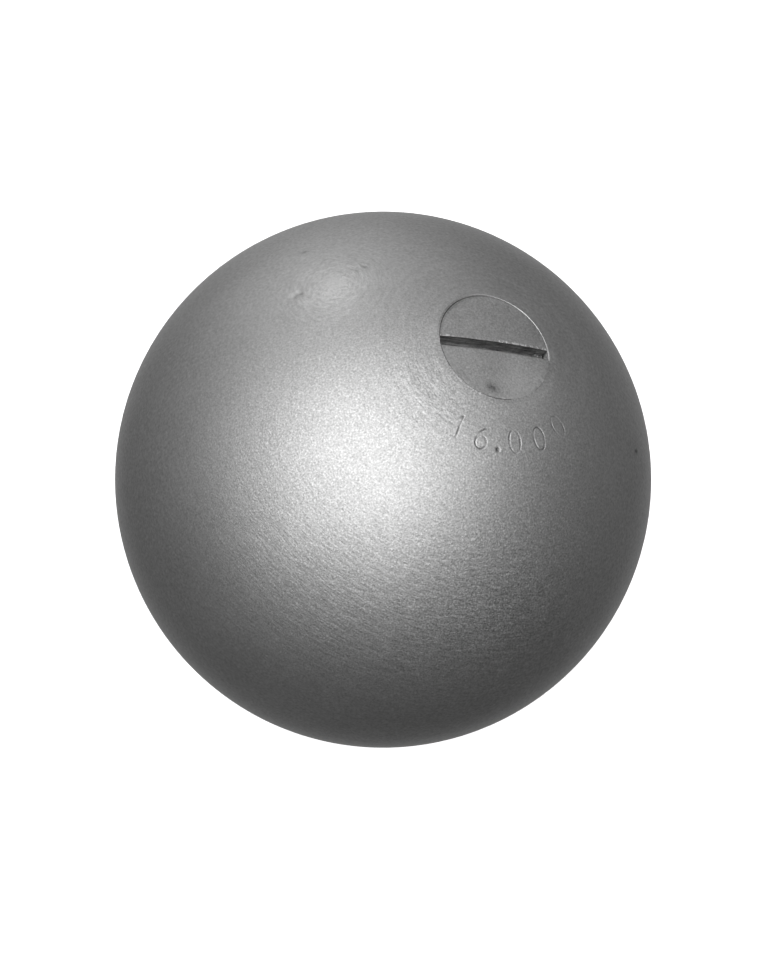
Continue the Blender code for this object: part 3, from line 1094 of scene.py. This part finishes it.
def turned_steel():
    f = Finish("turned_steel_silver")
    marks, _ = turned_marks(f, f.place, STREAK_ROUND, STREAK_ACROSS)
    grain = f.noise(f.place, GRAIN_SCALE)
    blotch = f.noise(f.place, BLOTCH_SCALE)

    # Below the land the thread and spigot are bare, oiled steel.
    bare = f.without(f.rise(f.z, LAND_FOOT - BARE_FADE, LAND_FOOT))
    finished = f.without(bare)

    # Dirt and painted shade in whatever lies below the crown, and the sawn slot.
    crown_radius, crown_top = crown_sphere()
    depth = f.math("SUBTRACT", crown_radius, f.distance((0.0, 0.0, crown_top - crown_radius)))
    # Dirt and painted shade: darker wherever the place lies below the crown.
    dirt_and_shade = f.product(f.rise(depth, *PLUG_DIRT_AND_SHADE_DEPTH), finished)
    clear = f.math("SUBTRACT", finished, dirt_and_shade)
    in_slot = f.math("LESS_THAN", f.math("ABSOLUTE", f.y), SLOT_WIDTH / 2.0 + SLOT_MARGIN)
    inside = f.product(f.rise(depth, *SLOT_DEPTH), f.product(in_slot, finished))
    slot_tone = f.mix(f.rise(f.x, *SLOT_TONES_CHANGE), *SLOT_TONES)
    tone_factor = f.product(f.mix(dirt_and_shade, 1.0, DIRT_AND_SHADE_TONE), f.mix(inside, 1.0, slot_tone))
    sawn = f.product(f.noise(f.stretched(*SAW_RATES), 1.0, detail=3.0), inside)
    worn = edge_wear(f, clear)

    # Brighter and darker parts of the face.
    quarter = f.without(f.rise(f.distance((QUARTER_X, QUARTER_Y, crown_top)), *QUARTER_FADE))
    smudge = f.math("MAXIMUM", bell(f, *SMUDGE_LEFT), bell(f, *SMUDGE_RIGHT))
    face_reach = f.measure("LENGTH", f.vector(f.x, f.y, 0.0))
    # Painted shade beside the seam on the plug's rim, and beads of the finish.
    beads, shade = seam_tones(f, f.product(f.rise(face_reach, *RIM_REACH), clear))

    tone = f.total(
        (grain, 0.45), (marks, 0.25), (blotch, 0.14), (sawn, 1.8), (worn, 1.1), (quarter, 0.1),
        (smudge, -0.19), (beads, 0.13), (shade, -0.16), (bare, -0.12), (1.0, STEEL_SILVER),
        *((bell(f, *place), change) for *place, change in PLUG_TONES),
    )
    f.grey(f.product(tone, tone_factor))
    f.put("Metallic", 1.0)
    roughness = f.total((marks, 0.02), (grain, 0.02), (inside, -0.1), (bare, -0.2), (1.0, 0.61))
    f.surface(roughness, f.total((marks, 0.03), (grain, 0.03), (blotch, 0.02), (sawn, 0.08)))
    return f.material


LEAD_COLOUR = (0.2, 0.21, 0.23)
FIBRE_COLOUR = (0.3, 0.085, 0.055)
FIBRE_RATES = (0.6, 2.5, 1.0)
FELT_COLOUR = (0.3, 0.285, 0.265)


def dull_lead():
    f = Finish("dull_lead")
    bloom = f.noise(f.place, 0.35, detail=4.0)
    specks = f.noise(f.place, 3.0)
    f.tint(f.total((bloom, 0.35), (specks, 0.15), (1.0, 1.0)), LEAD_COLOUR)
    f.put("Metallic", 0.8)
    f.surface(f.total((bloom, 0.2), (1.0, 0.6)), f.total((bloom, 0.12), (specks, 0.02)))
    return f.material


def red_fibre():
    f = Finish("pressed_red_fibre")
    fibres = f.noise(f.stretched(*FIBRE_RATES), 1.5, detail=5.0)
    specks = f.noise(f.place, 4.0)
    f.tint(f.total((fibres, 0.5), (specks, 0.3), (1.0, 1.0)), FIBRE_COLOUR)
    f.surface(f.total((fibres, 0.15), (1.0, 0.72)), f.total((fibres, 0.05), (specks, 0.02)))
    return f.material


def grey_felt():
    f = Finish("grey_wool_felt")
    tufts = f.noise(f.place, 0.9, detail=6.0)
    hairs = f.noise(f.place, 6.0, detail=4.0)
    f.tint(f.total((tufts, 0.5), (hairs, 0.6), (1.0, 1.0)), FELT_COLOUR)
    f.put("Sheen Weight", 0.4)
    f.surface(f.total((hairs, 0.1), (1.0, 0.92)), f.total((tufts, 0.25), (hairs, 0.12)))
    return f.material


def give(piece, material):
    piece.data.materials.clear()
    piece.data.materials.append(material)


def dress():
    """The turned pieces and the washer with their detail, and finishes for the rest inside."""
    ball = shell_mesh()
    give(ball, turned_iron())
    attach(ball, "ball")
    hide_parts("shell")

    plug = plug_mesh()
    give(plug, turned_steel())
    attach(plug, "plug")
    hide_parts("plug")

    washer = washer_mesh()
    give(washer, red_fibre())
    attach(washer, "washer")
    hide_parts("seal_washer")

    lead = dull_lead()
    for name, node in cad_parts.items():
        if name == "lead_core" or name.startswith("trim_pellet"):
            give(node, lead)
    give(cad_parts["felt_wad"], grey_felt())


# The photograph's view: azimuth from -Y round +Z, elevation, roll, distance in metres and lens.
VIEW_AZIMUTH = -39.742
VIEW_ELEVATION = 50.525
VIEW_ROLL = 40.106
VIEW_DISTANCE = 1.2
VIEW_LENS = 200.96
SENSOR = 36.0
# The ball's centre in the picture, from its middle, in pixels of 768 by 960.
CENTRE_RIGHT = -0.882
CENTRE_UP = 0.374
PICTURE_LONG_SIDE = 960.0
CLIP_START = 0.05
CLIP_END = 60.0


def view_axes():
    """Right, up and back of the photograph's camera."""
    a, e, roll = (math.radians(v) for v in (VIEW_AZIMUTH, VIEW_ELEVATION, VIEW_ROLL))
    back = Vector((math.sin(a) * math.cos(e), -math.cos(a) * math.cos(e), math.sin(e)))
    level_right = Vector((math.cos(a), math.sin(a), 0.0))
    level_up = back.cross(level_right)
    up = level_up * math.cos(roll) - level_right * math.sin(roll)
    right = up.cross(back)
    return right, up, back


def camera():
    right, up, back = view_axes()
    data = bpy.data.cameras.new("camera")
    data.lens = VIEW_LENS
    data.sensor_width = SENSOR
    data.sensor_fit = "AUTO"
    data.clip_start = CLIP_START
    data.clip_end = CLIP_END
    made = placed("camera", data)
    turn = Matrix((right, up, back)).transposed()
    per_pixel = VIEW_DISTANCE * SENSOR / VIEW_LENS / PICTURE_LONG_SIDE
    aim = -(right * CENTRE_RIGHT + up * CENTRE_UP) * per_pixel
    made.matrix_world = Matrix.Translation(aim + back * VIEW_DISTANCE) @ turn.to_4x4()
    bpy.context.scene.camera = made


def soft_light(name, direction, distance, diameter, power):
    """A round soft box that faces the ball."""
    data = bpy.data.lights.new(name, "AREA")
    data.shape = "DISK"
    data.size = diameter
    data.energy = power
    made = placed(name, data)
    made.location = direction * distance
    made.rotation_euler = direction.to_track_quat("Z", "Y").to_euler()
    made.visible_camera = False


FLOOR_RADIUS = 8.0
FLOOR_SEGMENTS = 96
FLOOR_GREY = 0.85
FLOOR_GRAIN = 0.01
FLOOR_GRAIN_SCALE = 0.02
FLOOR_ROUGHNESS = 0.9
FLOOR_GLOW = 0.9
BACKDROP_GLOW = 1.0
BLACK = (0.0, 0.0, 0.0, 1.0)
WHITE = (1.0, 1.0, 1.0, 1.0)


def moulded(name, work):
    """A new object made of a bmesh."""
    mesh = bpy.data.meshes.new(name)
    work.to_mesh(mesh)
    work.free()
    return placed(name, mesh)


def glowing(f, strength):
    """Makes a finish shine white by itself, with no gloss."""
    f.put("Specular IOR Level", 0.0)
    f.put("Emission Color", WHITE)
    f.put("Emission Strength", strength)


def stage():
    """A pale floor under the ball and a pale backdrop that only the camera sees."""
    work = bmesh.new()
    bmesh.ops.create_circle(work, cap_ends=True, segments=FLOOR_SEGMENTS, radius=FLOOR_RADIUS)
    bmesh.ops.translate(work, verts=work.verts, vec=(0.0, 0.0, -BALL_RADIUS * MM))
    floor = moulded("floor", work)
    f = Finish("floor_white")
    f.grey(f.total((f.noise(f.place, FLOOR_GRAIN_SCALE), FLOOR_GRAIN), (1.0, FLOOR_GREY)))
    f.put("Roughness", FLOOR_ROUGHNESS)
    glowing(f, FLOOR_GLOW)
    give(floor, f.material)
    floor.visible_glossy = False
    floor.visible_diffuse = False
    floor.visible_shadow = False

    work = bmesh.new()
    bmesh.ops.create_uvsphere(work, u_segments=64, v_segments=32, radius=FLOOR_RADIUS)
    backdrop = moulded("backdrop", work)
    paper = Finish("backdrop_white")
    paper.put("Base Color", BLACK)
    glowing(paper, BACKDROP_GLOW)
    give(backdrop, paper.material)
    for ray in ("diffuse", "glossy", "transmission", "volume_scatter", "shadow"):
        setattr(backdrop, "visible_" + ray, False)


# Soft boxes: name, direction as the photograph's camera sees it (right, up, towards it), distance and
# diameter in metres, and power in watts.
SOFT_BOXES = (
    ("key", (-0.115, 0.12, 0.986), 1.35, 1.9, 28.6),
    ("top", (-0.25, 0.955, -0.16), 1.3, 1.2, 3.4),
)
# Pale paper round the ball, which lights its rim: direction likewise, the cosines where its glow starts
# and is full, and its level.
GLOWS = (
    ((0.0, 0.0, -1.0), 0.8, 0.97, 0.83),
    ((0.64, 0.0, -0.77), 0.6, 0.95, 0.138),
    ((-0.25, -0.42, -0.87), 0.75, 0.97, 0.1),
    ((0.7, 0.68, 0.2), 0.7, 0.97, 0.15),
    ((-0.65, 0.7, 0.28), 0.7, 0.97, 0.24),
)


def lights():
    right, up, back = view_axes()

    def seen_from_camera(x, y, z):
        return (right * x + up * y + back * z).normalized()

    for name, direction, distance, diameter, power in SOFT_BOXES:
        soft_light(name, seen_from_camera(*direction), distance, diameter, power)

    world = bpy.data.worlds.new("studio")
    world.use_nodes = True
    g = Graph(world.node_tree)
    ray = g.node("TexCoord").outputs["Generated"]
    level = 0.0
    for direction, start, full, glow in GLOWS:
        towards = tuple(seen_from_camera(*direction))
        cosine = g.measure("DOT_PRODUCT", ray, towards)
        level = g.math("MULTIPLY_ADD", g.rise(cosine, start, full), glow, level)
    g.feed(world.node_tree.nodes["Background"].inputs["Color"], g.vector(level, level, level))
    bpy.context.scene.world = world
    bpy.context.scene.view_settings.view_transform = "Standard"


dress()
camera()
lights()
stage()
